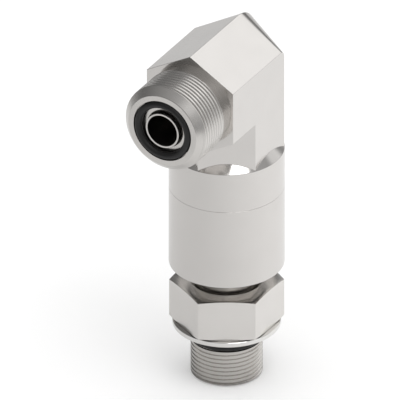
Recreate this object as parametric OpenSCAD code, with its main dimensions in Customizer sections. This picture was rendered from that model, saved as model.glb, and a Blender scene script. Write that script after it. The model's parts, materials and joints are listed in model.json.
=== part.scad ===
// Ninety-degree live swivel elbow adapter: a face-seal nose on a hexagon elbow, a ball-bearing
// swivel barrel, and an adjustable straight-thread port stud with its locknut.
// +Z runs up the stem axis, the nose points along -Y, and the origin is the mouth of the
// flow bore at the lower end of the stud. Millimetres.

/* [Port stud] */
// Major diameter of the port thread
stud_d = 33.2; // [30:0.1:36]
// Length of the threaded stud below its relief
stud_len = 19; // [14:0.5:24]
// Chamfer at the tip of the stud
stud_chamfer = 1; // [0.4:0.1:1.6]
// Diameter of the relief that holds the port seal
relief_d = 29.8; // [27:0.1:29.8]
// Free length of the relief below the washer
relief_gap = 6.6; // [4:0.1:9]
// Diameter of the flow bore in the stem and in the nose
bore_d = 15.7; // [10:0.1:17]
// Section of the port seal ring
port_seal_w = 2.95; // [2:0.05:3.5]

/* [Locknut and washer] */
// Width across the flats of the locknut
nut_af = 46; // [42:0.5:52]
// Height of the locknut
nut_h = 20.8; // [16:0.1:26]
// Diameter of the flat on the locknut's upper end
nut_face_d = 43; // [38:0.5:45]
// Slope of the chamfer around that flat, in degrees
nut_slope = 12.5; // [10:0.5:30]
// Room above the locknut for backing it off
nut_travel_gap = 9.4; // [7:0.1:14]
// Diameter of the plain neck between the locknut's thread and the barrel
neck_relief_d = 29.8; // [27:0.1:30]
// Outside diameter of the backup washer
washer_od = 50.2; // [44:0.2:54]
// Thickness of the backup washer
washer_t = 2.4; // [1.6:0.1:3.2]
// Travel of the washer and locknut, three turns of the thread
nut_travel = 6.35; // [2:0.05:6.5]

/* [Swivel barrel] */
// Outside diameter of the barrel and of the elbow's collar
barrel_d = 53.6; // [52:0.2:60]
// Length of the barrel from its lower end to the seam
barrel_len = 40.3; // [38:0.1:48]
// Length of the lip that closes the lower end of the barrel
lip_len = 8.2; // [7:0.1:10]
// Diameter of the bearing balls
ball_d = 5; // [4:0.1:5.5]
// Number of balls in each row
ball_count = 22; // [12:1:22]
// Distance between the two ball rows
row_pitch = 10; // [8:0.1:11]
// Height of the stem's ball journal above the neck, all round
journal_rise = 2.4; // [1.9:0.1:2.9]
// Diameter of the plugs that close the ball filling holes
plug_d = 6; // [5.6:0.1:7]

/* [Seals] */
// Diameter of the stem's sealing spigot
spigot_d = 28; // [27:0.1:30]
// Length of the spigot inside the elbow
spigot_len = 21.4; // [18:0.1:24]
// Section of the stem seal ring
seal_w = 3.53; // [2.6:0.01:3.6]
// Thickness of each backup ring
backup_t = 1.4; // [1:0.1:2]
// Thickness of the thrust washer
thrust_t = 1; // [0.6:0.1:1.5]
// Wall of the wear ring and of the lower bush
bush_wall = 1.6; // [1.2:0.1:2]

/* [Elbow] */
// Width across the flats of the elbow's hexagon bar
hex_af = 46; // [42:0.5:46]
// Length of the round collar between the seam and the shoulder
collar_len = 19.9; // [18:0.1:24]
// Height of the nose axis above the shoulder
arm_h = 37.9; // [32:0.1:48]
// Distance from the stem axis to the front of the hexagon
hex_front = 33.9; // [30:0.1:42]
// Offset of the outer bend's centre from the two axes
bend_offset = 10; // [4:0.1:12]
// Diameter of the upright passage inside the elbow
passage_d = 16.3; // [10:0.1:18]
// Length by which the elbow screws into the barrel
screw_len = 7.9; // [6:0.1:9]
// Diameter of the screwed joint between elbow and barrel
screw_d = 44; // [43:0.1:46]

/* [Nose] */
// Length of the nose in front of the hexagon
nose_len = 25.6; // [22:0.1:32]
// Major diameter of the nose thread
nose_d = 42.8; // [38:0.1:44]
// Chamfer at the front of the nose, at 45 degrees
nose_chamfer = 3.4; // [1:0.1:4]
// Distance from the face to the end of the full thread
nose_thread_end = 20; // [16:0.1:21]
// Depth of the relief behind the nose thread
nose_relief = 1.6; // [0.6:0.1:2]
// Section of the face seal ring
face_seal_w = 3.53; // [2.6:0.01:3.6]
// Outside diameter of the face seal groove
groove_od = 30.5; // [29:0.1:32]
// Depth of the face seal groove
groove_depth = 2.8; // [2:0.1:3]
// Width of the flat lip between the bore and the groove
face_lip = 0.9; // [0.8:0.05:1.6]

/* [Hidden] */
$fn = 96;

// Clearances: a turning fit, a screwed or seated fit, and the play of a nut on its thread
run_gap = 0.05;
seat_gap = 0.02;
thread_gap = 0.1;
// Overshoot of cutters past the faces that they open
over = 1;
// Room left around inner pieces where nothing runs or seals
slack = 0.3;
// Small edge chamfer of turned inner ends
edge = 0.8;
// Depth to which the neck's relief reaches into the locknut
relief_reach = 2.5;

// Heights along the stem axis, from the tip of the stud upwards
washer_z = stud_len + relief_gap;
nut_z = washer_z + washer_t;
nut_top_z = nut_z + nut_h;
barrel_z = nut_top_z + nut_travel_gap;
cavity_z = barrel_z + lip_len;
seam_z = barrel_z + barrel_len;
shoulder_z = seam_z + collar_len;
axis_z = shoulder_z + arm_h;
screw_z = seam_z - screw_len;
relief_top_z = nut_z + nut_travel + 2 * slack;
neck_relief_z = nut_top_z - relief_reach;
stem_top_z = screw_z + spigot_len;

// The neck has the stud's diameter, and the journal for the balls stands up from it
neck_d = stud_d;
race_d = neck_d + 2 * journal_rise;
// The journal lies between the lip and the thrust washer
journal_low_z = cavity_z + slack + 0.2;
journal_top_z = screw_z - thrust_t - 2 * run_gap;
row_mid_z = (journal_low_z + journal_top_z) / 2;
lower_row_z = row_mid_z - row_pitch / 2;
upper_row_z = row_mid_z + row_pitch / 2;
row_r = race_d / 2 + slack / 2;
race_gap = 0.03;
cavity_d = race_d + 2 * slack;
groove_out_r = row_r + ball_d / 2 + race_gap;
plug_seat_r = groove_out_r + slack;

// The lip's bore, its bush and its wiper share the stem's neck
lip_d = neck_d + 0.8;
wiper_t = 2.2;
wiper_w = 2.4;
wiper_low_z = barrel_z + 0.2;
bush_low_z = barrel_z + wiper_t + 0.4;

// Seal gland on the spigot: the ring is squeezed, and the gland is deeper and longer than it
seal_squeeze = 0.86;
gland_depth = seal_w * 0.88;
gland_len = seal_w * 1.15 + 2 * backup_t;
gland_land = 4;
gland_z = stem_top_z - gland_land - gland_len;
spigot_bore_d = spigot_d + 2 * run_gap;
wear_len = 5;
wear_z = screw_z + 1.5;

// Ring seal at the seam, and the screw at the back that locks the screwed joint
barrel_seal_w = 1.78;
barrel_seal_z = seam_z - 1.6;
barrel_groove_w = 2.2;
lock_d = 3.5;
lock_depth = 2;
lock_rise = 2.9;
lock_z = screw_z + lock_rise;

// Key sockets of the ball plugs and of the lock screw
plug_key_w = 3;
plug_key_depth = 2;
lock_key_w = 1.8;
lock_key_depth = 1.5;

// Hexagon sizes across the corners
hex_ac = hex_af / cos(30);
nut_ac = nut_af / cos(30);
face_y = -(hex_front + nose_len);
face_seal_r = groove_od / 2 - face_seal_w / 2 - slack;
shoulder_rise = 6.5;

// Round solid along Z
module rod(d, low, high) {
    translate([0, 0, low]) cylinder(d = d, h = high - low);
}

// Flat ring along Z
module ring(od, id, low, high) {
    difference() {
        rod(od, low, high);
        rod(id, low - over, high + over);
    }
}

// Seal ring around the Z axis, given by the radius of its centre line
module seal_ring(mid_r, w) {
    rotate_extrude() translate([mid_r, 0]) circle(d = w, $fn = 48);
}

// Hexagon bar along Z with two flats facing +X and -X
module hex_bar(across, low, high) {
    translate([0, 0, low]) rotate([0, 0, 90]) cylinder(d = across, h = high - low, $fn = 6);
}

// Turns a shape drawn along Z so that it points along -Y at the height of the nose axis
module on_nose_axis() {
    translate([0, 0, axis_z]) rotate([90, 0, 0]) children();
}

// Outer bend of the elbow: the top of the hexagon section swung through a quarter turn
module outer_bend() {
    side = hex_ac / 4 - bend_offset;
    translate([0, bend_offset, axis_z + bend_offset])
        rotate([0, 90, 0]) rotate([0, 0, 90])
            rotate_extrude(angle = 90)
                polygon([[0, -hex_af / 2], [side, -hex_af / 2], [hex_ac / 2 - bend_offset, 0],
                    [side, hex_af / 2], [0, hex_af / 2]]);
}

// Groove for the face seal, cut from the front of the nose, with a sloping inner wall
module face_groove(front) {
    lip_r = bore_d / 2 + face_lip;
    floor_r = face_seal_r - face_seal_w / 2 - 0.1;
    rotate_extrude()
        polygon([[lip_r, front + over], [lip_r, front], [floor_r, front - groove_depth],
            [groove_od / 2, front - groove_depth], [groove_od / 2, front + over]]);
}

// Threaded nose, drawn along Z from the hexagon's front to the seal face
module nose() {
    front = -face_y;
    difference() {
        rotate_extrude()
            polygon([[0, hex_front - over], [nose_d / 2 - nose_relief, hex_front - over],
                [nose_d / 2 - nose_relief, front - nose_thread_end - nose_relief],
                [nose_d / 2, front - nose_thread_end],
                [nose_d / 2, front - nose_chamfer], [nose_d / 2 - nose_chamfer, front],
                [0, front]]);
        face_groove(front);
    }
}

module elbow_body() {
    color("gainsboro") difference() {
        union() {
            hex_bar(hex_ac, shoulder_z, axis_z + bend_offset);
            on_nose_axis() hex_bar(hex_ac, -bend_offset, hex_front);
            outer_bend();
            on_nose_axis() nose();
            rod(barrel_d, seam_z, shoulder_z);
            translate([0, 0, shoulder_z])
                cylinder(d1 = barrel_d, d2 = barrel_d - 2 * shoulder_rise, h = shoulder_rise);
            rod(screw_d - 2 * seat_gap, screw_z, seam_z + over);
        }
        // Flow passages, meeting at the crossing of the two axes
        rod(passage_d, screw_z - over, axis_z);
        on_nose_axis() rod(bore_d, -bore_d / 2, -face_y + over);
        // Bore for the stem's spigot, with the seat of the wear ring at its mouth
        rod(spigot_bore_d, screw_z - over, stem_top_z + slack);
        rod(spigot_bore_d + 2 * bush_wall, wear_z, wear_z + wear_len);
        barrel_seal_groove();
        lock_hole();
    }
}

// Groove at the root of the screwed part for the ring that keeps dirt out
module barrel_seal_groove() {
    ring(screw_d + over, screw_d - 2 * barrel_seal_w - 4 * seat_gap,
        barrel_seal_z - barrel_groove_w / 2, barrel_seal_z + barrel_groove_w / 2);
}

// Hole at the back that takes the lock screw of the barrel
module lock_hole() {
    translate([0, 0, lock_z]) rotate([-90, 0, 0])
        rod(lock_d + 2 * seat_gap, screw_d / 2 - lock_depth - 0.1, barrel_d / 2 + over);
}

// Ball race: a round groove swept about the stem axis
module race(z) {
    translate([0, 0, z]) seal_ring(row_r, ball_d + 2 * race_gap);
}

// Filling hole of one ball row at the back of the barrel
module filling_hole(z) {
    translate([0, 0, z]) rotate([-90, 0, 0]) {
        rod(ball_d + 2 * thread_gap, row_r, plug_seat_r + over);
        rod(plug_d + 2 * seat_gap, plug_seat_r, barrel_d / 2 + over);
    }
}

module swivel_barrel() {
    color("gainsboro") difference() {
        rod(barrel_d, barrel_z, seam_z);
        rod(lip_d, barrel_z - over, cavity_z + over);
        rod(neck_d + 2 * wiper_w, barrel_z - over, barrel_z + wiper_t + seat_gap);
        rod(neck_d + 2 * run_gap + 2 * bush_wall, bush_low_z, cavity_z + over);
        rod(cavity_d, cavity_z, screw_z + over);
        rod(screw_d, screw_z - 0.1, seam_z + over);
        race(lower_row_z);
        race(upper_row_z);
        filling_hole(lower_row_z);
        filling_hole(upper_row_z);
        lock_hole();
    }
}

// Port stud, relief, neck, ball journal and sealing spigot in one turned piece
module stem() {
    color("darkgray") difference() {
        union() {
            cylinder(d1 = stud_d - 2 * stud_chamfer, d2 = stud_d, h = stud_chamfer);
            rod(stud_d, stud_chamfer, stud_len);
            rod(relief_d, stud_len - over, relief_top_z + over);
            rod(neck_d, relief_top_z, neck_relief_z);
            rod(neck_relief_d, neck_relief_z - over, barrel_z);
            rod(neck_d, barrel_z - slack, journal_low_z + over);
            rod(race_d, journal_low_z, journal_top_z);
            rod(spigot_d, journal_top_z - over, stem_top_z - edge);
            translate([0, 0, stem_top_z - edge])
                cylinder(d1 = spigot_d, d2 = spigot_d - 2 * edge, h = edge);
        }
        rod(bore_d, -over, stem_top_z + over);
        ring(spigot_d + over, spigot_d - 2 * gland_depth, gland_z, gland_z + gland_len);
        race(lower_row_z);
        race(upper_row_z);
    }
}

// Hexagon nut with a round flat and a chamfer on top, and a small chamfer below
module locknut() {
    lower_chamfer = 0.9;
    mouth = 0.8;
    bore = stud_d + 2 * thread_gap;
    drop = (nut_ac / 2 + over - nut_face_d / 2) * tan(nut_slope);
    foot_r = nut_af / 2 - 0.6;
    rim_r = nut_ac / 2 + over;
    lower_rise = lower_chamfer * (rim_r - foot_r) / (nut_ac / 2 - foot_r);
    color("gainsboro") difference() {
        intersection() {
            hex_bar(nut_ac, nut_z, nut_top_z);
            rotate_extrude()
                polygon([[0, nut_z], [foot_r, nut_z], [rim_r, nut_z + lower_rise],
                    [rim_r, nut_top_z - drop], [nut_face_d / 2, nut_top_z], [0, nut_top_z]]);
        }
        rod(bore, nut_z - over, nut_top_z + over);
        translate([0, 0, nut_top_z - mouth])
            cylinder(r1 = bore / 2, r2 = bore / 2 + mouth + over, h = mouth + over);
    }
}

module backup_washer() {
    color("gainsboro") ring(washer_od, relief_d + 4 * thread_gap, washer_z, nut_z - seat_gap);
}

module port_o_ring() {
    mid_r = relief_d / 2 + seat_gap + port_seal_w / 2;
    color("black") translate([0, 0, stud_len + port_seal_w / 2 + seat_gap])
        seal_ring(mid_r, port_seal_w);
}

module face_o_ring() {
    color("black") on_nose_axis()
        translate([0, 0, -face_y - groove_depth + face_seal_w / 2 + seat_gap])
            seal_ring(face_seal_r, face_seal_w);
}

// One full row of balls
module ball_row(z) {
    color("silver") for (i = [0 : ball_count - 1])
        rotate([0, 0, 360 * i / ball_count]) translate([row_r, 0, z]) sphere(d = ball_d, $fn = 32);
}

module upper_ball_row() ball_row(upper_row_z);
module lower_ball_row() ball_row(lower_row_z);

// Hexagon socket for a key, sunk into the top of a plug or screw drawn along Z
module key_socket(across_flats, depth, top) {
    translate([0, 0, top - depth])
        cylinder(d = across_flats / cos(30), h = depth + over, $fn = 6);
}

// Plug with a hexagon socket that closes a filling hole from the back
module ball_plug(z) {
    outer = barrel_d / 2 - slack;
    color("gray") translate([0, 0, z]) rotate([-90, 0, 0]) difference() {
        rod(plug_d, plug_seat_r + seat_gap, outer);
        key_socket(plug_key_w, plug_key_depth, outer);
    }
}

module upper_ball_plug() ball_plug(upper_row_z);
module lower_ball_plug() ball_plug(lower_row_z);

// Seal ring of the stem, held between two backup rings in its gland
module stem_o_ring() {
    squeezed_w = seal_w * seal_squeeze;
    color("black") translate([0, 0, gland_z + gland_len / 2])
        seal_ring(spigot_bore_d / 2 - run_gap - squeezed_w / 2, squeezed_w);
}

module gland_ring(low) {
    color("ivory") ring(spigot_bore_d - 2 * run_gap, spigot_d - 2 * gland_depth + 2 * seat_gap,
        low, low + backup_t - 2 * seat_gap);
}

module upper_backup_ring() gland_ring(gland_z + gland_len - backup_t + seat_gap);
module lower_backup_ring() gland_ring(gland_z + seat_gap);

module wear_ring() {
    color("ivory") ring(spigot_bore_d + 2 * bush_wall - 2 * seat_gap, spigot_d + 2 * run_gap,
        wear_z + seat_gap, wear_z + wear_len - seat_gap);
}

module lower_bush() {
    color("peru") ring(neck_d + 2 * run_gap + 2 * bush_wall - 2 * seat_gap,
        neck_d + 2 * run_gap, bush_low_z + seat_gap, cavity_z);
}

module dust_wiper() {
    color("dimgray") ring(neck_d + 2 * wiper_w - 2 * seat_gap, neck_d + 2 * run_gap,
        wiper_low_z, barrel_z + wiper_t);
}

module barrel_o_ring() {
    mid_r = screw_d / 2 - barrel_seal_w / 2 - seat_gap;
    color("black") translate([0, 0, barrel_seal_z]) seal_ring(mid_r, barrel_seal_w);
}

module thrust_washer() {
    color("ivory") ring(race_d - over, spigot_bore_d + 2 * slack, screw_z - thrust_t - seat_gap,
        screw_z - seat_gap);
}

module lock_screw() {
    outer = barrel_d / 2 - slack;
    color("gray") translate([0, 0, lock_z]) rotate([-90, 0, 0]) difference() {
        rod(lock_d, screw_d / 2 - lock_depth, outer);
        key_socket(lock_key_w, lock_key_depth, outer);
    }
}

elbow_body();
swivel_barrel();
stem();
locknut();
backup_washer();
port_o_ring();
face_o_ring();
upper_ball_row();
lower_ball_row();
upper_ball_plug();
lower_ball_plug();
stem_o_ring();
upper_backup_ring();
lower_backup_ring();
wear_ring();
lower_bush();
dust_wiper();
barrel_o_ring();
thrust_washer();
lock_screw();
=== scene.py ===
# Ninety-degree live swivel elbow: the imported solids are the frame, and the steel pieces are
# modelled again on them with rounded edges, real threads and their finish.
import json
import math

import bpy
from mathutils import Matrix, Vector


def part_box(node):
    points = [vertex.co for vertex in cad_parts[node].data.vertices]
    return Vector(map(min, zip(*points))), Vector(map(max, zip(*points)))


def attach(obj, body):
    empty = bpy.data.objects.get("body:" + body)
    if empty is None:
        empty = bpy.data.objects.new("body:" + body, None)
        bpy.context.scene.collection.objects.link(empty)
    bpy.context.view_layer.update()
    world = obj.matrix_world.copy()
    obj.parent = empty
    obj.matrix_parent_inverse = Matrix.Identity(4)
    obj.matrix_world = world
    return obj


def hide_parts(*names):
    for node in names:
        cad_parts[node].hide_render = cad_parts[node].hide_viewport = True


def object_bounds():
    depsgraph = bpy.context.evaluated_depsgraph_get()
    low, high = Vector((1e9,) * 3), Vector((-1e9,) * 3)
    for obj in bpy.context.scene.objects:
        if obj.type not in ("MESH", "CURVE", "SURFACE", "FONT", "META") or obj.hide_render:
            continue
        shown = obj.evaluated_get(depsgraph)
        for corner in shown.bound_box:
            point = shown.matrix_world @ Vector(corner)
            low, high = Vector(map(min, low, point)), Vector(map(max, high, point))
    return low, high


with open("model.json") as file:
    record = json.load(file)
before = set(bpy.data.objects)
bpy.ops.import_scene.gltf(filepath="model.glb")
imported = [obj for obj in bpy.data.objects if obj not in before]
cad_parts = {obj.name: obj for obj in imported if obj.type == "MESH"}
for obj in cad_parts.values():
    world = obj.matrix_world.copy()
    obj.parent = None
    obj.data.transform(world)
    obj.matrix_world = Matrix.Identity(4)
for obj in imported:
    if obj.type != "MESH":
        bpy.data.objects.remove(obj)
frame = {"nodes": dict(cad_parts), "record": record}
nodes = frame["nodes"]
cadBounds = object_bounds()
mm = 0.001  # sizes below are millimetres, the scene is metres
weld = mm / 2000  # vertices closer than this are one
roundSteps = 128  # segments around a turned piece
holeSteps = 64  # segments around a drilled hole
raceSteps = 14  # segments across a ball race
cornerSteps = (0, 0.33, 0.67, 1)  # where a rounded corner gets its points
past = 1  # how far a cutting tool reaches beyond what it cuts
fit = 0.02  # room around a seated piece
print("frame loaded:", len(nodes), "nodes")


def boxOf(node):
    low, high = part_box(node)
    return low / mm, high / mm


def middleOf(node):
    low, high = boxOf(node)
    return (low + high) / 2


def mountOf(name):
    return next(m for m in frame["record"]["mounts"] if m["name"] == name)


# Heights on the stem axis and reach along the nose axis, read from the frame
stemTop = boxOf("stem")[1].z
barrelLow, seam = boxOf("swivel_barrel")[0].z, boxOf("swivel_barrel")[1].z
nutLow, nutTop = boxOf("locknut")[0].z, boxOf("locknut")[1].z
washerLow, washerTop = boxOf("backup_washer")[0].z, boxOf("backup_washer")[1].z
axisHeight = mountOf("nose_thread")["pos_m"][2] / mm
faceReach = -mountOf("nose_face")["pos_m"][1] / mm
boreRadius = mountOf("stud_bore")["dims"]["r_mm"]
barrelRadius = boxOf("swivel_barrel")[1].x
rows = [middleOf("lower_ball_row").z, middleOf("upper_ball_row").z]

# Shared by several pieces
hexFlat = 23  # from the axis to a flat of the elbow's hexagon and of the nut's
hexCorner = hexFlat / math.cos(math.pi / 6)
ballCircle = 19.15  # radius on which the balls' centres run
raceRadius = 2.53


# Drawing tools: a turned piece is a closed outline of (radius, height) spun about Z
def selectNothing():
    if bpy.context.object and bpy.context.object.mode != "OBJECT":
        bpy.ops.object.mode_set(mode="OBJECT")
    bpy.ops.object.select_all(action="DESELECT")


def selectOnly(*pieces):
    selectNothing()
    for piece in pieces:
        piece.select_set(True)
    bpy.context.view_layer.objects.active = pieces[0]


def softCorners(corners):
    # a corner with a third number is rounded off by that much
    points = []
    for i, corner in enumerate(corners):
        here = Vector(corner[:2])
        reach = corner[2] if len(corner) > 2 else 0
        if not reach:
            points.append(here)
            continue
        back = (Vector(corners[i - 1][:2]) - here).normalized() * reach
        ahead = (Vector(corners[(i + 1) % len(corners)][:2]) - here).normalized() * reach
        for t in cornerSteps:
            points.append(here + back * (1 - t) ** 2 + ahead * t ** 2)
    return points


def drawOutline(name, corners):
    # left in edit mode, with all of it selected
    selectNothing()
    bpy.ops.mesh.primitive_plane_add(size=mm)
    outline = bpy.context.object
    outline.name = outline.data.name = name
    bpy.ops.object.mode_set(mode="EDIT")
    bpy.ops.mesh.merge(type="CENTER")
    places = [Vector((radius, 0, height)) * mm for radius, height in softCorners(corners)]
    bpy.ops.transform.translate(value=places[0])
    for here, there in zip(places, places[1:] + places[:1]):
        bpy.ops.mesh.extrude_region_move(TRANSFORM_OT_translate={"value": there - here})
    bpy.ops.mesh.select_all(action="SELECT")
    bpy.ops.mesh.remove_doubles(threshold=weld)
    return outline


def spinOutline(outline):
    bpy.ops.mesh.select_all(action="SELECT")
    bpy.ops.mesh.spin(steps=roundSteps, angle=math.tau, center=(0, 0, 0), axis=(0, 0, 1))
    bpy.ops.mesh.select_all(action="SELECT")
    bpy.ops.mesh.remove_doubles(threshold=weld)
    bpy.ops.mesh.normals_make_consistent(inside=False)
    bpy.ops.object.mode_set(mode="OBJECT")
    return outline


def raceArc(height, face, side):
    # half round of a ball race, from low to high: side -1 sinks it into a shaft of that radius,
    # side 1 into a bore
    reach = math.acos(side * (face - ballCircle) / raceRadius)
    turns = [reach * (2 * i / raceSteps - 1) for i in range(raceSteps + 1)]
    return [(ballCircle + side * raceRadius * math.cos(t), height + raceRadius * math.sin(t))
        for t in turns]


def combine(base, tool, operation):
    # the tool is used up
    selectOnly(base)
    bpy.ops.object.modifier_add(type="BOOLEAN")
    cut = base.modifiers[-1]
    cut.operation, cut.object, cut.solver = operation, tool, "EXACT"
    bpy.ops.object.modifier_apply(modifier=cut.name)
    selectOnly(tool)
    bpy.ops.object.delete()
    selectOnly(base)


def settle(piece):
    # its place and turn go into its mesh
    selectOnly(piece)
    bpy.ops.object.transform_apply(location=True, rotation=True, scale=True)


def turnToNose(piece):
    # from upright on the origin to pointing along -Y at the height of the nose axis
    piece.rotation_euler = (math.pi / 2, 0, 0)
    piece.location = (0, 0, axisHeight * mm)
    settle(piece)


def hexBar(name, low, high):
    selectNothing()
    bpy.ops.mesh.primitive_cylinder_add(vertices=6, radius=hexCorner * mm,
        depth=(high - low) * mm, location=(0, 0, (low + high) / 2 * mm))
    bar = bpy.context.object
    bar.name = bar.data.name = name
    settle(bar)
    return bar


def drillBack(piece, height, radius, near, far):
    # a round hole from the back, along Y
    selectNothing()
    bpy.ops.mesh.primitive_cylinder_add(vertices=holeSteps, radius=radius * mm,
        depth=(far - near) * mm, location=Vector((0, (near + far) / 2, height)) * mm,
        rotation=(math.pi / 2, 0, 0))
    drill = bpy.context.object
    settle(drill)
    combine(piece, drill, "DIFFERENCE")


# Rounded edges and smooth shading: angles in degrees
rounding = {"sharper": 30, "segments": 3, "flatLimit": 0.4, "smoothAngle": 32}


def roundEdges(piece, width, sharper=rounding["sharper"]):
    selectOnly(piece)
    bpy.ops.object.mode_set(mode="EDIT")
    bpy.ops.mesh.select_all(action="SELECT")
    bpy.ops.mesh.remove_doubles(threshold=weld)
    bpy.ops.mesh.dissolve_limited(angle_limit=math.radians(rounding["flatLimit"]))
    bpy.ops.object.mode_set(mode="OBJECT")
    bpy.ops.object.modifier_add(type="BEVEL")
    edge = piece.modifiers[-1]
    edge.width, edge.segments, edge.limit_method = width * mm, rounding["segments"], "ANGLE"
    edge.angle_limit = math.radians(sharper)
    bpy.ops.object.modifier_apply(modifier=edge.name)


def shade(piece):
    selectOnly(piece)
    bpy.ops.object.shade_smooth_by_angle(angle=math.radians(rounding["smoothAngle"]))
    bpy.ops.object.modifier_add(type="WEIGHTED_NORMAL")  # rounded edges leave the flats flat
    weighting = piece.modifiers[-1]
    weighting.keep_sharp, weighting.weight = True, 100
    bpy.ops.object.modifier_apply(modifier=weighting.name)
    print(piece.name, "shaped:", len(piece.data.polygons), "faces")


# Both threads: 12 turns to the inch with 60 degree flanks, shallow with broad crests as in the
# photo. The groove's tool stands out of the crests by "over".
thread = {"pitch": 25.4 / 12, "root": 0.3, "flank": 30, "over": 0.3}


def cutThread(piece, major, depth, low, turns):
    # right-hand thread: the section of its groove is swept up a helix and cut out
    t = thread
    mouth = t["root"] / 2 + (depth + t["over"]) * math.tan(math.radians(t["flank"]))
    groove = drawOutline("threadGroove", [(major - depth, low - t["root"] / 2),
        (major + t["over"], low - mouth), (major + t["over"], low + mouth),
        (major - depth, low + t["root"] / 2)])
    bpy.ops.object.mode_set(mode="OBJECT")
    bpy.ops.object.modifier_add(type="SCREW")
    helix = groove.modifiers[-1]
    helix.axis, helix.angle, helix.screw_offset = "Z", math.tau, t["pitch"] * mm
    helix.iterations, helix.steps, helix.render_steps = turns, roundSteps, roundSteps
    bpy.ops.object.modifier_apply(modifier=helix.name)
    bpy.ops.object.mode_set(mode="EDIT")
    bpy.ops.mesh.select_all(action="SELECT")
    bpy.ops.mesh.remove_doubles(threshold=weld)
    bpy.ops.mesh.fill_holes(sides=0)
    bpy.ops.mesh.select_all(action="SELECT")
    bpy.ops.mesh.normals_make_consistent(inside=False)
    bpy.ops.object.mode_set(mode="OBJECT")
    combine(piece, groove, "DIFFERENCE")


# Elbow: two hexagon bars that meet at right angles, a bend turned round their outer corner, and
# the collar with its 45 degree shoulder
elbow = {
    "shoulder": 118.4,
    "shoulderRise": 6.5,
    "bendOffset": 10,
    "hexFront": 33.9,
    "screwLow": 90.6,
    "screwRadius": 21.98,
    "sealGroove": (95.8, 98.0, 20.18),  # low, high and the radius of its floor
    "spigotBoreRadius": 14.05,
    "spigotRoom": 0.3,
    "passageRadius": 8.15,
    "lockHoleStart": 19.9,
    "edge": 0.18,
}


def makeHexElbow():
    e = elbow
    upright = hexBar("elbowBodySteel", e["shoulder"], axisHeight + e["bendOffset"])
    arm = hexBar("armBar", -e["bendOffset"], e["hexFront"])
    turnToNose(arm)
    combine(upright, arm, "UNION")

    side = hexCorner / 2 - e["bendOffset"]
    bend = drawOutline("outerBend", [(0, -hexFlat), (side, -hexFlat),
        (hexCorner - e["bendOffset"], 0), (side, hexFlat), (0, hexFlat)])
    spinOutline(bend)
    bend.rotation_euler = (0, math.pi / 2, 0)
    bend.location = Vector((0, e["bendOffset"], axisHeight + e["bendOffset"])) * mm
    settle(bend)
    combine(upright, bend, "UNION")

    top = e["shoulder"] + e["shoulderRise"]
    grooveLow, grooveHigh, grooveRadius = e["sealGroove"]
    collar = drawOutline("collar", [(0, e["screwLow"]), (e["screwRadius"], e["screwLow"]),
        (e["screwRadius"], grooveLow), (grooveRadius, grooveLow), (grooveRadius, grooveHigh),
        (e["screwRadius"], grooveHigh), (e["screwRadius"], seam), (barrelRadius, seam),
        (barrelRadius, e["shoulder"]), (barrelRadius - e["shoulderRise"], top), (0, top)])
    spinOutline(collar)
    combine(upright, collar, "UNION")
    roundEdges(upright, e["edge"])

    wearLow, wearHigh = boxOf("wear_ring")[0].z - fit, boxOf("wear_ring")[1].z + fit
    wearRadius = boxOf("wear_ring")[1].x + fit
    spigotEnd = stemTop + e["spigotRoom"]
    passage = drawOutline("uprightPassage", [(0, e["screwLow"] - past),
        (e["spigotBoreRadius"], e["screwLow"] - past), (e["spigotBoreRadius"], wearLow),
        (wearRadius, wearLow), (wearRadius, wearHigh), (e["spigotBoreRadius"], wearHigh),
        (e["spigotBoreRadius"], spigotEnd), (e["passageRadius"], spigotEnd),
        (e["passageRadius"], axisHeight), (0, axisHeight)])
    spinOutline(passage)
    combine(upright, passage, "DIFFERENCE")
    crossing = drawOutline("armPassage", [(0, -boreRadius), (boreRadius, -boreRadius),
        (boreRadius, e["hexFront"] + past), (0, e["hexFront"] + past)])
    spinOutline(crossing)
    turnToNose(crossing)
    combine(upright, crossing, "DIFFERENCE")
    lockRadius = boxOf("lock_screw")[1].x + fit
    drillBack(upright, middleOf("lock_screw").z, lockRadius, e["lockHoleStart"],
        barrelRadius + past)
    shade(upright)
    return upright


# Nose: threaded outside, with the seal groove and the lip in the face. The groove's inner wall is
# steeper than the solid's, as it shows in the photo.
nose = {
    "rootDepth": 0.5,  # how far it is sunk into the elbow
    "major": 21.4,
    "threadDepth": 0.8,
    "threadTurns": 12,
    "threadEnd": 20,
    "relief": 1.6,
    "chamfer": 3.4,
    "chamferEdge": 0.3,
    "grooveOuter": 15.25,
    "grooveInner": 9.5,  # at its floor
    "grooveDepth": 2.8,
    "grooveEdge": 0.2,
    "lip": 0.9,
    "lipEdge": 0.1,
    "boreEdge": 0.15,
}


def makeNose():
    n = nose
    front = faceReach
    base = elbow["hexFront"] - n["rootDepth"]
    threadLow = front - n["threadEnd"] - n["relief"]
    grooveLow = front - n["grooveDepth"]
    reliefRadius = n["major"] - n["relief"]
    lipRadius = boreRadius + n["lip"]
    piece = spinOutline(drawOutline("noseSteel", [
        (boreRadius, base), (reliefRadius, base), (reliefRadius, threadLow),
        (n["major"], front - n["threadEnd"]), (n["major"], front - n["chamfer"]),
        (n["major"] - n["chamfer"], front, n["chamferEdge"]),
        (n["grooveOuter"], front, n["grooveEdge"]), (n["grooveOuter"], grooveLow),
        (n["grooveInner"], grooveLow), (lipRadius, front, n["lipEdge"]),
        (boreRadius, front, n["boreEdge"])]))
    cutThread(piece, n["major"], n["threadDepth"], threadLow, n["threadTurns"])
    turnToNose(piece)
    shade(piece)
    return piece


# Barrel under the elbow, with both outer races and their filling holes
barrel = {
    "edge": 0.5,
    "seamEdge": 0.1,
    "wiperRadius": 19,
    "wiperTop": 60.42,
    "wiperEdge": 0.2,
    "lipRadius": 17.0,
    "bushRadius": 18.25,
    "bushLow": 60.8,
    "lipTop": 66.4,
    "cavityRadius": 19.3,
    "screwRadius": 22,
    "screwLow": 90.5,
    "fillingRadius": 2.6,
}


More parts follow.
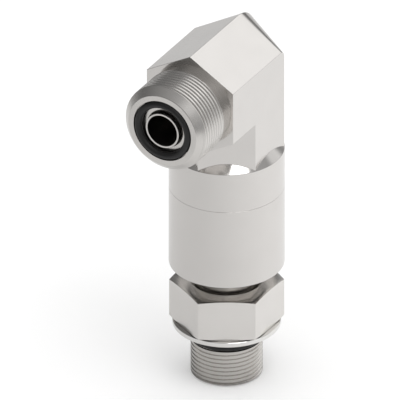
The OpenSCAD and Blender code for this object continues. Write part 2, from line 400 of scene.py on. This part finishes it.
def makeBarrel():
    b = barrel
    races = [raceArc(height, b["cavityRadius"], 1)[::-1] for height in rows[::-1]]
    piece = spinOutline(drawOutline("swivelBarrelSteel", [
        (b["wiperRadius"], barrelLow, b["wiperEdge"]), (barrelRadius, barrelLow, b["edge"]),
        (barrelRadius, seam, b["seamEdge"]), (b["screwRadius"], seam),
        (b["screwRadius"], b["screwLow"]), (b["cavityRadius"], b["screwLow"]),
        *races[0], *races[1],
        (b["cavityRadius"], b["lipTop"]), (b["bushRadius"], b["lipTop"]),
        (b["bushRadius"], b["bushLow"]), (b["lipRadius"], b["bushLow"]),
        (b["lipRadius"], b["wiperTop"]), (b["wiperRadius"], b["wiperTop"])]))
    for height, plug in zip(rows, ("lower_ball_plug", "upper_ball_plug")):
        low, high = boxOf(plug)
        drillBack(piece, height, b["fillingRadius"], ballCircle, low.y + past)
        drillBack(piece, height, high.x + fit, low.y - fit, barrelRadius + past)
    lockRadius = boxOf("lock_screw")[1].x + fit
    drillBack(piece, middleOf("lock_screw").z, lockRadius, b["screwRadius"] - past,
        barrelRadius + past)
    shade(piece)
    return piece


# Stem: port stud, relief, threaded neck, ball journal and spigot
stem = {
    "boreEdge": 0.3,
    "tipChamfer": 0.7,
    "tipEdge": 0.1,
    "major": 16.65,
    "threadDepth": 0.55,
    "threadRun": 0.8,
    "studTurns": 11,
    "studTop": 19,
    "reliefRadius": 14.9,
    "reliefTop": 34.95,
    "neckTurns": 6,
    "threadTop": 46.3,
    "fillet": 0.3,
    "neckRadius": 14.9,
    "neckTop": 57.9,
    "neckEdge": 0.2,
    "journalLow": 66.9,
    "journalTop": 89.5,
    "journalRadius": 19,
    "journalEdge": 0.3,
    "spigotRadius": 14,
    "spigotEdge": 0.8,
    "gland": (101.14, 108, 10.89),  # low, high and the radius of its floor
}


def makeStem():
    s = stem
    races = [raceArc(height, s["journalRadius"], -1) for height in rows]
    glandLow, glandHigh, glandRadius = s["gland"]
    run = s["threadRun"]
    piece = spinOutline(drawOutline("stemSteel", [
        (boreRadius, 0, s["boreEdge"]), (s["major"] - s["tipChamfer"], 0, s["tipEdge"]),
        (s["major"], s["tipChamfer"]), (s["major"], s["studTop"] - run),
        (s["reliefRadius"], s["studTop"], s["fillet"]),
        (s["reliefRadius"], s["reliefTop"], s["fillet"]),
        (s["major"], s["reliefTop"] + run), (s["major"], s["threadTop"] - run),
        (s["neckRadius"], s["threadTop"], s["fillet"]),
        (s["neckRadius"], s["neckTop"], s["neckEdge"]),
        (s["major"], s["neckTop"], s["neckEdge"]), (s["major"], s["journalLow"]),
        (s["journalRadius"], s["journalLow"], s["journalEdge"]), *races[0], *races[1],
        (s["journalRadius"], s["journalTop"], s["journalEdge"]),
        (s["spigotRadius"], s["journalTop"]), (s["spigotRadius"], glandLow),
        (glandRadius, glandLow), (glandRadius, glandHigh), (s["spigotRadius"], glandHigh),
        (s["spigotRadius"], stemTop, s["spigotEdge"]), (boreRadius, stemTop)]))
    cutThread(piece, s["major"], s["threadDepth"], -thread["pitch"], s["studTurns"])
    cutThread(piece, s["major"], s["threadDepth"], s["reliefTop"], s["neckTurns"])
    shade(piece)
    return piece


# Locknut: hexagon with a round flat and a turned chamfer on top, small chamfer below
locknut = {
    "flatRadius": 21.5,
    "slope": 12.5,
    "footRadius": 22.4,
    "footRise": 0.9,
    "boreRadius": 16.7,
    "mouth": 0.3,
    "edge": 0.12,
    "sharper": 20,  # the chamfers meet the flats at small angles
}


def makeLocknut():
    n = locknut
    piece = hexBar("locknutSteel", nutLow, nutTop)
    rim = hexCorner + past
    drop = (rim - n["flatRadius"]) * math.tan(math.radians(n["slope"]))
    rise = n["footRise"] * (rim - n["footRadius"]) / (hexCorner - n["footRadius"])
    envelope = drawOutline("nutEnvelope", [(0, nutLow), (n["footRadius"], nutLow),
        (rim, nutLow + rise), (rim, nutTop - drop), (n["flatRadius"], nutTop), (0, nutTop)])
    spinOutline(envelope)
    combine(piece, envelope, "INTERSECT")
    hole = drawOutline("nutHole", [(0, nutLow - past), (n["boreRadius"], nutLow - past),
        (n["boreRadius"], nutTop - n["mouth"]),
        (n["boreRadius"] + n["mouth"] + past, nutTop + past), (0, nutTop + past)])
    spinOutline(hole)
    combine(piece, hole, "DIFFERENCE")
    roundEdges(piece, n["edge"], n["sharper"])
    shade(piece)
    return piece


# Backup washer
washer = {"boreRadius": 15.1, "boreEdge": 0.2, "outerRadius": 25.1, "outerEdge": 0.45}


def makeWasher():
    w = washer
    piece = spinOutline(drawOutline("backupWasherSteel", [
        (w["boreRadius"], washerLow, w["boreEdge"]),
        (w["outerRadius"], washerLow, w["outerEdge"]),
        (w["outerRadius"], washerTop, w["outerEdge"]),
        (w["boreRadius"], washerTop, w["boreEdge"])]))
    shade(piece)
    return piece


# Materials
def linear(hexColor):
    channels = [int(hexColor[i:i + 2], 16) / 255 for i in (1, 3, 5)]
    return [c / 12.92 if c <= 0.04045 else ((c + 0.055) / 1.055) ** 2.4 for c in channels] + [1]


def addNode(tree, kind, settings=None, **links):
    # settings go on the node or on its sockets; links name a socket and what feeds it, and in0,
    # in1 and so on are sockets by their number
    node = tree.nodes.new(kind)
    for name, value in (settings or {}).items():
        if isinstance(name, str) and hasattr(node, name):
            setattr(node, name, value)
        else:
            node.inputs[name].default_value = value
    for name, source in links.items():
        socket = int(name[2:]) if name.startswith("in") else name.replace("_", " ")
        tree.links.new(source, node.inputs[socket])
    return node


def newMaterial(name):
    material = bpy.data.materials.new(name)
    material.use_nodes = True
    material.node_tree.nodes.clear()
    return material, material.node_tree


# Noise scales count the marks in a metre, bump depths are millimetres. Feed lines of 2500 in a
# metre are 0.4 mm apart, coarser than the real feed, so that they show.
turnedLook = {
    "feedScale": 2500,
    "feedDetail": 2,
    "grainScale": 3000,
    "grainDetail": 3,
    "cloudScale": 90,
    "cloudDetail": 4,
    "smoother": 0.05,
    "rougher": 0.06,
    "bumpDepth": 0.02,
}


def turnedSteel(name, color, roughness, lineBump, brushed=0.0, onNose=False):
    # Plated steel, machine turned: satin, with feed lines around the axis that draw reflections
    # out across themselves, and faint clouds in colour and gloss
    look = turnedLook
    axis, centre = ((0, 1, 0), (0, 0, axisHeight * mm)) if onNose else ((0, 0, 1), (0, 0, 0))
    material, tree = newMaterial(name)
    coords = addNode(tree, "ShaderNodeTexCoord").outputs["Object"]
    shifted = addNode(tree, "ShaderNodeVectorMath", {"operation": "SUBTRACT", 1: centre},
        in0=coords)
    along = addNode(tree, "ShaderNodeVectorMath", {"operation": "DOT_PRODUCT", 1: axis},
        in0=shifted.outputs[0])
    around = addNode(tree, "ShaderNodeVectorMath", {"operation": "CROSS_PRODUCT", 1: axis},
        in0=shifted.outputs[0])
    radius = addNode(tree, "ShaderNodeVectorMath", {"operation": "LENGTH"}, in0=around.outputs[0])
    tangent = addNode(tree, "ShaderNodeVectorTransform", {"vector_type": "VECTOR",
        "convert_from": "OBJECT", "convert_to": "WORLD"}, Vector=around.outputs[0])
    lines = addNode(tree, "ShaderNodeCombineXYZ", X=radius.outputs["Value"],
        Y=along.outputs["Value"])
    feed = addNode(tree, "ShaderNodeTexNoise", {"Scale": look["feedScale"],
        "Detail": look["feedDetail"]}, Vector=lines.outputs[0])
    cloud = addNode(tree, "ShaderNodeTexNoise", {"Scale": look["cloudScale"],
        "Detail": look["cloudDetail"]}, Vector=coords)
    grain = addNode(tree, "ShaderNodeTexNoise", {"Scale": look["grainScale"],
        "Detail": look["grainDetail"]}, Vector=coords)
    rough = addNode(tree, "ShaderNodeMapRange", {"To Min": roughness - look["smoother"],
        "To Max": roughness + look["rougher"]}, Value=cloud.outputs[0])
    tone = addNode(tree, "ShaderNodeMix", {"data_type": "RGBA", 6: linear(color[0]),
        7: linear(color[1])}, Factor=cloud.outputs[0])
    relief = addNode(tree, "ShaderNodeMath", {"operation": "ADD"}, in0=feed.outputs[0],
        in1=grain.outputs[0])
    bump = addNode(tree, "ShaderNodeBump", {"Strength": lineBump,
        "Distance": look["bumpDepth"] * mm}, Height=relief.outputs[0])
    surface = addNode(tree, "ShaderNodeBsdfPrincipled", {"Metallic": 1.0, "Anisotropic": brushed},
        Base_Color=tone.outputs[2], Roughness=rough.outputs[0], Normal=bump.outputs[0],
        Tangent=tangent.outputs[0])
    addNode(tree, "ShaderNodeOutputMaterial", Surface=surface.outputs[0])
    return material


plainLook = {
    "grainDetail": 4,
    "cloudScale": 120,
    "cloudDetail": 3,
    "roughSpread": 0.07,
    "bumpStrength": 0.4,
}


def plainFinish(name, color, metallic, roughness, grainScale, bumpDepth):
    # one colour with a fine grain, and patches that shine a little more or less
    look = plainLook
    material, tree = newMaterial(name)
    coords = addNode(tree, "ShaderNodeTexCoord").outputs["Object"]
    grain = addNode(tree, "ShaderNodeTexNoise", {"Scale": grainScale,
        "Detail": look["grainDetail"]}, Vector=coords)
    cloud = addNode(tree, "ShaderNodeTexNoise", {"Scale": look["cloudScale"],
        "Detail": look["cloudDetail"]}, Vector=coords)
    rough = addNode(tree, "ShaderNodeMapRange", {"To Min": roughness - look["roughSpread"],
        "To Max": roughness + look["roughSpread"]}, Value=cloud.outputs[0])
    bump = addNode(tree, "ShaderNodeBump", {"Strength": look["bumpStrength"],
        "Distance": bumpDepth * mm}, Height=grain.outputs[0])
    surface = addNode(tree, "ShaderNodeBsdfPrincipled", {"Metallic": metallic,
        "Base Color": linear(color)}, Roughness=rough.outputs[0], Normal=bump.outputs[0])
    addNode(tree, "ShaderNodeOutputMaterial", Surface=surface.outputs[0])
    return material


# Zinc-nickel plate on smooth hexagon bar: a pale, faintly warm grey that mirrors the room softly
bodySteel = turnedSteel("zincNickelHexagonSteel", ("#dedbd8", "#d8d5d2"), 0.14, 0.06)
# The same plate over turned feed lines, so that light fans out across face and thread
noseSteel = turnedSteel("zincNickelTurnedNose", ("#dcd9d6", "#d5d2ce"), 0.22, 0.1, 0.8, onNose=True)
# Finely turned and plated: even and quiet from rim to rim
barrelSteel = turnedSteel("zincNickelTurnedBarrel", ("#dedbd8", "#d8d5d2"), 0.16, 0.1)
# The same plate, painted a little darker all over as painted shade for the shade that falls in its
# threads, with highlights drawn out along the neck
stemSteel = turnedSteel("zincNickelStemPaintedShade", ("#d0cdc9", "#c7c4c0"), 0.2, 0.12, 0.5)
# The same plate painted a little lighter, as painted light that makes up for the light nearby parts
# shut off: satin on the flats, with light that fans out on the turned top
nutSteel = turnedSteel("zincNickelNutPaintedLight", ("#e8e5e2", "#e1deda"), 0.24, 0.08, 0.8)
# Bright zinc on a stamped washer: smooth, nearly white on its rim
washerSteel = turnedSteel("brightZincWasher", ("#efeeec", "#e9e7e4"), 0.12, 0.1)
# Moulded nitrile: black and half matt
sealRubber = plainFinish("nitrileRubber", "#0e0d0d", 0.0, 0.5, 1800, 0.02)
# Ground and polished bearing steel: a clear mirror
ballSteel = plainFinish("polishedBearingSteel", "#d8d8da", 1.0, 0.12, 400, 0.001)
# Black oxide on small screws: dark metal with a soft shine
blackSteel = plainFinish("blackOxideSteel", "#2c2b2a", 1.0, 0.45, 1500, 0.01)
# Turned filled plastic: cream and half matt
backingPlastic = plainFinish("filledPtfe", "#e3ded0", 0.0, 0.5, 900, 0.01)
# Pressed and sintered bronze: warm, with open pores
bushBronze = plainFinish("sinteredBronze", "#b98a52", 1.0, 0.4, 1600, 0.03)
print("materials ready")


def wear(piece, material):
    piece.data.materials.clear()
    piece.data.materials.append(material)


def place(piece, body, replaced, material):
    wear(piece, material)
    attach(piece, body)
    if replaced:
        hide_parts(replaced)


place(makeHexElbow(), "elbow", "elbow_body", bodySteel)
place(makeNose(), "elbow", None, noseSteel)
place(makeBarrel(), "elbow", "swivel_barrel", barrelSteel)
place(makeStem(), "stem", "stem", stemSteel)
place(makeLocknut(), "locknut", "locknut", nutSteel)
place(makeWasher(), "washer", "backup_washer", washerSteel)

nodeFinish = {
    "port_o_ring": sealRubber,
    "face_o_ring": sealRubber,
    "stem_o_ring": sealRubber,
    "barrel_o_ring": sealRubber,
    "dust_wiper": sealRubber,
    "upper_ball_row": ballSteel,
    "lower_ball_row": ballSteel,
    "upper_ball_plug": blackSteel,
    "lower_ball_plug": blackSteel,
    "lock_screw": blackSteel,
    "upper_backup_ring": backingPlastic,
    "lower_backup_ring": backingPlastic,
    "wear_ring": backingPlastic,
    "thrust_washer": backingPlastic,
    "lower_bush": bushBronze,
}
nodeSmoothAngle = math.radians(35)
for nodeName, finish in nodeFinish.items():
    wear(nodes[nodeName], finish)
    selectOnly(nodes[nodeName])
    bpy.ops.object.shade_smooth_by_angle(angle=nodeSmoothAngle)
print("finishes on", len(nodeFinish), "carried-over nodes")


# Studio: pale floor, grey card, soft lamp, room and camera
floorLook = {"size": 6, "cells": 4, "color": "#ffffff"}  # size in metres


def makeFloor():
    selectNothing()
    bpy.ops.mesh.primitive_grid_add(x_subdivisions=floorLook["cells"],
        y_subdivisions=floorLook["cells"], size=floorLook["size"],
        location=(0, 0, cadBounds[0][2]))
    floor = bpy.context.object
    floor.name = "studioFloor"
    material, tree = newMaterial("pale floor")
    surface = addNode(tree, "ShaderNodeBsdfDiffuse", {"Color": linear(floorLook["color"])})
    addNode(tree, "ShaderNodeOutputMaterial", Surface=surface.outputs[0])
    wear(floor, material)
    floor.visible_glossy = False


cardLook = {"radii": (18, 650), "thickness": 0.5, "tones": ("#d6d6d6", "#f4f4f4"), "bright": 145}


def makeCard():
    # a pale grey card that lies on the floor round the stud, for reflections only: a little
    # darker in front on the left and lighter behind on the right
    look = cardLook
    inner, outer = look["radii"]
    thick = look["thickness"]
    card = drawOutline("greyCard", [(inner, 0), (outer, 0), (outer, thick), (inner, thick)])
    spinOutline(card)
    card.location.z = (cadBounds[0][2] / mm + thick) * mm
    settle(card)
    card.visible_camera = card.visible_diffuse = card.visible_shadow = False
    material, tree = newMaterial("grey card")
    coords = addNode(tree, "ShaderNodeTexCoord").outputs["Object"]
    flat = addNode(tree, "ShaderNodeVectorMath", {"operation": "MULTIPLY", 1: (1, 1, 0)},
        in0=coords)
    unit = addNode(tree, "ShaderNodeVectorMath", {"operation": "NORMALIZE"}, in0=flat.outputs[0])
    bright = math.radians(look["bright"])  # counted from the nose towards +X
    side = addNode(tree, "ShaderNodeVectorMath", {"operation": "DOT_PRODUCT",
        1: (math.sin(bright), -math.cos(bright), 0)}, in0=unit.outputs[0])
    share = addNode(tree, "ShaderNodeMapRange", {"From Min": -1, "From Max": 1},
        Value=side.outputs["Value"])
    tone = addNode(tree, "ShaderNodeMix", {"data_type": "RGBA", 6: linear(look["tones"][0]),
        7: linear(look["tones"][1])}, Factor=share.outputs[0])
    surface = addNode(tree, "ShaderNodeBsdfDiffuse", Color=tone.outputs[2])
    addNode(tree, "ShaderNodeOutputMaterial", Surface=surface.outputs[0])
    wear(card, material)


softbox = {"toward": (0.468, -0.251, 0.847), "distance": 1500, "size": 800, "watts": 3.5}


def makeSoftbox():
    toward = Vector(softbox["toward"]).normalized()
    bpy.ops.object.light_add(type="AREA",
        location=toward * softbox["distance"] * mm + Vector((0, 0, axisHeight * mm)))
    lamp = bpy.context.object
    lamp.name = "softbox"
    lamp.rotation_euler = toward.to_track_quat("Z", "Y").to_euler()
    lamp.data.shape = "DISK"
    lamp.data.size = softbox["size"] * mm
    lamp.data.energy = softbox["watts"]


# The room's bands are ranges of the direction looked in, and its windows open over the degrees
# from "rim" to "full"
room = {
    "level": 1.0,
    "skyLevel": 0.32,
    "skySlope": (0.2, -0.1, 0.0),
    "wallLevels": (0.14, 0.45),
    "wallWidth": (-0.3, 0.6),
    "wallTop": (0.30, 0.45),
    "groundLevels": (0.3, 0.66),
    "groundDepth": (-0.1, 0.6),
    "horizon": (0.0, 0.12),
    "windows": [
        {"toward": (0.1, 0.78, 0.62), "rim": 24, "full": 11, "level": 0.85},
        {"toward": (0.5, 0.77, 0.4), "rim": 20, "full": 6, "level": 0.45},
        {"toward": (0.55, -0.55, 0.63), "rim": 20, "full": 8, "level": 0.35},
    ],
}


def makeWorld():
    # an even white room; reflections see a grey ground that is lighter behind, dim walls that are
    # lighter on the right, a grey ceiling, and three soft windows: two behind and one in front on
    # the right
    r = room
    world = bpy.data.worlds.new("studioRoom")
    bpy.context.scene.world = world
    world.use_nodes = True
    tree = world.node_tree
    tree.nodes.clear()
    direction = addNode(tree, "ShaderNodeTexCoord").outputs["Generated"]
    slope = addNode(tree, "ShaderNodeVectorMath", {"operation": "DOT_PRODUCT",
        1: r["skySlope"]}, in0=direction)
    ceiling = addNode(tree, "ShaderNodeMath", {"operation": "ADD", 1: r["skyLevel"]},
        in0=slope.outputs["Value"])
    parts = addNode(tree, "ShaderNodeSeparateXYZ", Vector=direction)
    bands = [("Y", r["groundDepth"], r["groundLevels"]), ("X", r["wallWidth"], r["wallLevels"]),
        ("Z", r["horizon"], (0, 1)), ("Z", r["wallTop"], (0, 1))]
    ground, wall, aboveGround, aboveWall = [addNode(tree, "ShaderNodeMapRange",
        {"interpolation_type": "SMOOTHSTEP", "From Min": ends[0], "From Max": ends[1],
        "To Min": levels[0], "To Max": levels[1]}, Value=parts.outputs[part]).outputs[0]
        for part, ends, levels in bands]
    upright = addNode(tree, "ShaderNodeMix", {"data_type": "FLOAT"}, in0=aboveGround,
        in2=ground, in3=wall)
    seen = addNode(tree, "ShaderNodeMix", {"data_type": "FLOAT"}, in0=aboveWall,
        in2=upright.outputs[0], in3=ceiling.outputs[0])
    for window in r["windows"]:
        toward = addNode(tree, "ShaderNodeVectorMath", {"operation": "DOT_PRODUCT",
            1: Vector(window["toward"]).normalized()}, in0=direction)
        glow = addNode(tree, "ShaderNodeMapRange", {"interpolation_type": "SMOOTHSTEP",
            "From Min": math.cos(math.radians(window["rim"])),
            "From Max": math.cos(math.radians(window["full"])), "To Max": window["level"]},
            Value=toward.outputs["Value"])
        seen = addNode(tree, "ShaderNodeMath", {"operation": "ADD"}, in0=seen.outputs[0],
            in1=glow.outputs[0])
    path = addNode(tree, "ShaderNodeLightPath")
    level = addNode(tree, "ShaderNodeMix", {"data_type": "FLOAT", 2: r["level"]},
        in0=path.outputs["Is Glossy Ray"], in3=seen.outputs[0])
    light = addNode(tree, "ShaderNodeBackground", {"Color": (1, 1, 1, 1)},
        Strength=level.outputs[0])
    addNode(tree, "ShaderNodeOutputWorld", Surface=light.outputs[0])


# The camera stands 30 degrees right of the nose and 30 up. The nose axis and the stem axis cross
# at a known pixel of the photo, which sets the camera's aim.
cameraView = {
    "azimuth": 30,
    "elevation": 30,
    "distance": 900,
    "photoSize": 400,
    "pixelsPerMm": 2.17,
    "axesCrossingPixel": (226.7, 75.1),
}


def makeCamera():
    v = cameraView
    azimuth, elevation = math.radians(v["azimuth"]), math.radians(v["elevation"])
    right = Vector((math.cos(azimuth), math.sin(azimuth), 0))
    toCamera = Vector((math.sin(azimuth) * math.cos(elevation),
        -math.cos(azimuth) * math.cos(elevation), math.sin(elevation)))
    up = toCamera.cross(right)
    middle = v["photoSize"] / 2
    crossing = Vector((0, 0, axisHeight))
    target = (crossing + right * (middle - v["axesCrossingPixel"][0]) / v["pixelsPerMm"]
        - up * (middle - v["axesCrossingPixel"][1]) / v["pixelsPerMm"])
    bpy.ops.object.camera_add(location=(target + toCamera * v["distance"]) * mm)
    camera = bpy.context.object
    camera.rotation_euler = toCamera.to_track_quat("Z", "Y").to_euler()
    camera.data.type = "ORTHO"
    camera.data.ortho_scale = v["photoSize"] / v["pixelsPerMm"] * mm
    bpy.context.scene.camera = camera


makeFloor()
makeCard()
makeSoftbox()
makeWorld()
makeCamera()
bpy.context.scene.view_settings.view_transform = "Standard"
print("studio ready")
